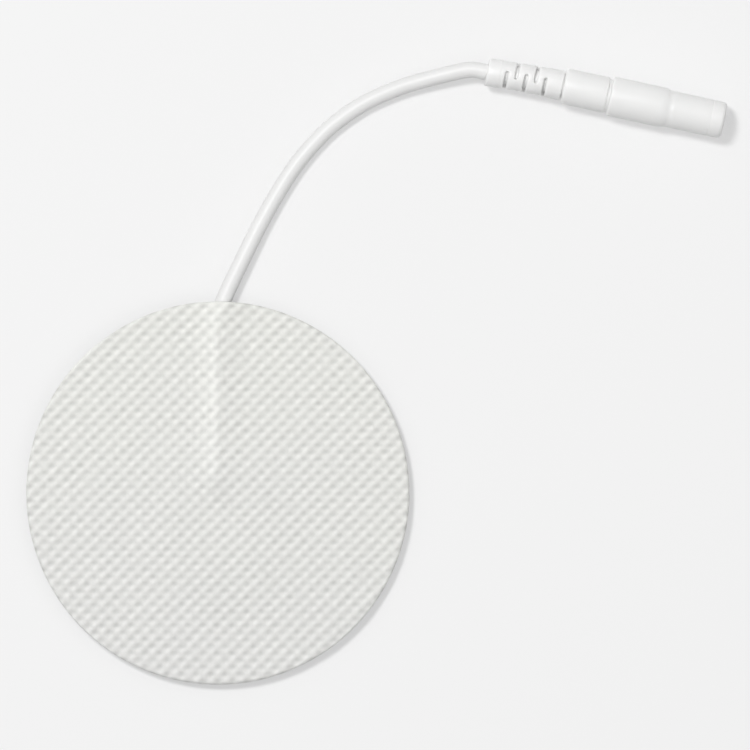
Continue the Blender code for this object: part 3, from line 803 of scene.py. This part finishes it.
contact = {
    "end": 30.7 * mm,
    "start": 17.7 * mm,
    "crimpStart": 13.2 * mm,
    "boreRadius": 1.05 * mm,
    "wall": 0.4 * mm,
    "clearance": 0.08 * mm,
    "crimpBoreRadius": 0.51 * mm,
    "crimpWall": 0.4 * mm,
    "slitWidth": 0.3 * mm,
    "slitLength": 7 * mm,
    "spinSteps": 72,
    "frontRounding": 0.12 * mm,
    "backRounding": 0.1 * mm,
    "fineEdge": 0.05 * mm,
    "leadInEdge": 0.02 * mm,
    "tones": [(0.64, 0.625, 0.59), (0.72, 0.705, 0.67)],
    "platingGrain": 1.4,
    "lowestRoughness": 0.24,
    "moreRoughness": 0.1,
    "reliefDepth": 0.003 * mm,
}

moulding = {
    "tones": [(0.81, 0.81, 0.805), (0.84, 0.84, 0.835)],
    "glowDepth": 0.5 * mm,                                  # how far light goes under the skin
    "cloudGrain": 0.25,
    "cloudHeight": 1.5,
    "fineGrain": 12.0,
    "handledGrain": 1.2,
    "lowestRoughness": 0.34,
    "moreRoughness": 0.12,
    "reliefDepth": 0.006 * mm,
}


def makeSleevePaint():
    m = moulding
    paint = Paint("white_moulding", {"IOR": 1.5, "Specular IOR Level": 0.45,
                                     "Subsurface Weight": 1.0, "Subsurface Scale": m["glowDepth"],
                                     "Subsurface Radius": (1.0, 1.0, 1.0)})
    place = paint.place()
    cloudy = paint.grain(place, m["cloudGrain"])
    fine = paint.grain(place, m["fineGrain"])
    paint.color(paint.tint(cloudy, *m["tones"]))
    paint.roughness(paint.grain(place, m["handledGrain"]) * m["moreRoughness"] + m["lowestRoughness"])
    paint.relief(fine + cloudy * m["cloudHeight"], m["reliefDepth"])
    return paint


def makeSleeve():
    c = connector
    r = c["edgeRounding"]
    seam = c["shoulderRadius"] - c["seamDepth"]
    seamEnd = c["shoulderEnd"] + c["seamWidth"]
    noseStart = c["gripEnd"] + c["gripTaper"]
    pocket = contact["boreRadius"] + contact["wall"] + contact["clearance"]
    crimpPocket = contact["crimpBoreRadius"] + contact["crimpWall"] + contact["clearance"]
    leadBore = leadRadius + c["leadClearance"]
    low = contact["crimpStart"] - contact["clearance"]
    step = contact["start"] - contact["clearance"]
    high = contact["end"] + contact["clearance"]
    corners = [
        (c["noseRadius"], c["length"], c["mouthRounding"]),
        (c["noseRadius"], c["length"] - c["tipLine"] + c["tipLineWidth"] / 2, c["fineEdge"]),
        (c["noseRadius"] - c["tipLineDepth"], c["length"] - c["tipLine"], c["innerEdge"]),
        (c["noseRadius"], c["length"] - c["tipLine"] - c["tipLineWidth"] / 2, c["fineEdge"]),
        (c["noseRadius"], noseStart + c["beadLength"], c["beadFoot"]),
        (c["noseRadius"] + c["beadHeight"], noseStart + c["beadLength"] / 2, c["beadTop"]),
        (c["noseRadius"] - c["beadHeight"], noseStart, c["beadStart"]),
        (c["gripRadius"], c["gripEnd"], c["gripRounding"]),
        (c["gripRadius"], seamEnd, r),
        (seam, seamEnd, c["fineEdge"]),
        (seam, c["shoulderEnd"], c["fineEdge"]),
        (c["shoulderRadius"], c["shoulderEnd"], r),
        (c["shoulderRadius"], c["reliefLength"], r),
        (c["reliefEndRadius"] - c["neckDepth"], c["reliefLength"], c["innerEdge"]),
        (c["reliefEndRadius"] - c["neckDepth"], c["reliefLength"] - c["neckWidth"], c["innerEdge"]),
        (c["reliefEndRadius"], c["reliefLength"] - c["neckWidth"], c["neckEdge"]),
        (c["reliefStartRadius"], c["collarLength"], c["reliefRounding"]),
        (c["collarRadius"], c["collarLength"] - c["collarEdge"], c["innerEdge"]),
        (c["collarRadius"], 0, r),
        (leadBore, 0, c["boreEdge"]),
        (leadBore, low, 0),
        (crimpPocket, low, 0),
        (crimpPocket, step, 0),
        (pocket, step, 0),
        (pocket, high, 0),
        (c["mouthRadius"], high, c["innerEdge"]),
        (c["mouthRadius"], c["length"] - c["mouthChamfer"], c["mouthEdge"]),
        (c["mouthRadius"] + c["mouthChamfer"], c["length"], c["mouthEdge"]),
    ]
    bm = cutWith(spunMesh(corners, c["spinSteps"]), windowKnife())
    layDown(bm)
    return finishPiece("socket_sleeve", meshOf(bm, "socket_sleeve"), makeSleevePaint(),
                       ["connector_sleeve"], c["sharpAngle"])


def makeContact():
    k = contact
    paint = Paint("nickelled_contact", {"Metallic": 1.0})
    place = paint.place()
    plating = paint.grain(place, k["platingGrain"])
    paint.color(paint.tint(plating, *k["tones"]))
    paint.roughness(plating * k["moreRoughness"] + k["lowestRoughness"])
    paint.relief(plating, k["reliefDepth"])
    outside = k["boreRadius"] + k["wall"]
    crimpOutside = k["crimpBoreRadius"] + k["crimpWall"]
    corners = [
        (outside, k["end"], k["frontRounding"]),
        (outside, k["start"], k["backRounding"]),
        (crimpOutside, k["start"], k["fineEdge"]),
        (crimpOutside, k["crimpStart"], k["fineEdge"]),
        (k["crimpBoreRadius"], k["crimpStart"], 0),
        (k["crimpBoreRadius"], k["start"] + k["wall"], 0),
        (k["boreRadius"], k["start"] + k["wall"], 0),
        (k["boreRadius"], k["end"] - k["wall"] / 2, k["fineEdge"]),
        (k["boreRadius"] + k["wall"] / 2, k["end"], k["leadInEdge"]),
    ]
    slit = bmesh.new()
    bmesh.ops.create_cube(slit, size=1.0)
    bmesh.ops.scale(slit, verts=slit.verts, vec=(4 * outside, k["slitWidth"], 2 * k["slitLength"]))
    bmesh.ops.translate(slit, verts=slit.verts, vec=(0, 0, k["end"]))
    bm = cutWith(spunMesh(corners, k["spinSteps"]), slit)
    layDown(bm)
    return finishPiece("pin_contact", meshOf(bm, "pin_contact"), paint,
                       ["contact_socket"])


strands = {
    "tones": [(0.58, 0.56, 0.52), (0.74, 0.71, 0.67)],
    "drawnGrain": 8.0,
    "lowestRoughness": 0.28,
    "moreRoughness": 0.2,
}


def makeStrandPaint():
    paint = Paint("tinned_strands", {"Metallic": 1.0})
    place = paint.place()
    drawn = paint.grain(place, strands["drawnGrain"])
    paint.color(paint.tint(drawn, *strands["tones"]))
    paint.roughness(drawn * strands["moreRoughness"] + strands["lowestRoughness"])
    return paint


sleevePiece = makeSleeve()
contactPiece = makeContact()
strandPaint = makeStrandPaint()
for node in ("conductor_fan", "conductor_crimped_end"):
    frame["nodes"][node].data.materials.clear()
    frame["nodes"][node].data.materials.append(strandPaint.material)
print("connector made")


# Studio: a pale floor, a soft key from the upper left, a weak fill and a sky that is brightest overhead

def makeStudio():
    bm = bmesh.new()
    bmesh.ops.create_grid(bm, x_segments=1, y_segments=1, size=studio["floorSize"] / 2)
    floor = bpy.data.objects.new("floor", meshOf(bm, "floor"))
    bpy.context.scene.collection.objects.link(floor)
    paint = Paint("pale_floor", {"Base Color": (*studio["floorColor"], 1.0),
                                 "Roughness": studio["floorRoughness"], "Specular IOR Level": 0.0})
    glow = paint.node("ShaderNodeEmission", {}, {"Color": (*studio["floorGlow"], 1.0)})
    mixed = paint.node("ShaderNodeMixShader", {}, {0: paint.seen() * studio["glowShare"],
                                                   1: Wire(paint, paint.shader.outputs[0]), 2: glow})
    paint.feed(paint.tree.nodes["Material Output"].inputs["Surface"], mixed)
    floor.data.materials.append(paint.material)
    for name in ("key", "fill"):
        lamp = bpy.data.lights.new(name, "AREA")
        lamp.energy = studio[name + "Power"]
        lamp.size = studio[name + "Size"]
        light = bpy.data.objects.new(name, lamp)
        light.location = studio[name + "Place"]
        light.rotation_euler = (-light.location).to_track_quat("-Z", "Y").to_euler()
        bpy.context.scene.collection.objects.link(light)
    world = bpy.data.worlds.new("sky")
    world.use_nodes = True
    board = Board(world.node_tree)
    outwards = board.node("ShaderNodeTexCoord", {}, {}, "Generated")
    up = board.node("ShaderNodeSeparateXYZ", {}, {0: outwards}, "Z")
    lift = board.node("ShaderNodeMath", {"operation": "MAXIMUM"}, {0: up, 1: 0.0})
    seen = board.seen()
    sky = board.tree.nodes["Background"]
    board.feed(sky.inputs["Color"], (1, 1, 1, 1))
    board.feed(sky.inputs["Strength"], (lift * studio["skyRise"] + studio["skyLow"]) * (1 - seen)
               + seen * studio["skySeen"])
    bpy.context.scene.world = world
    bpy.context.scene.view_settings.view_transform = "Standard"


makeStudio()
print("studio ready")
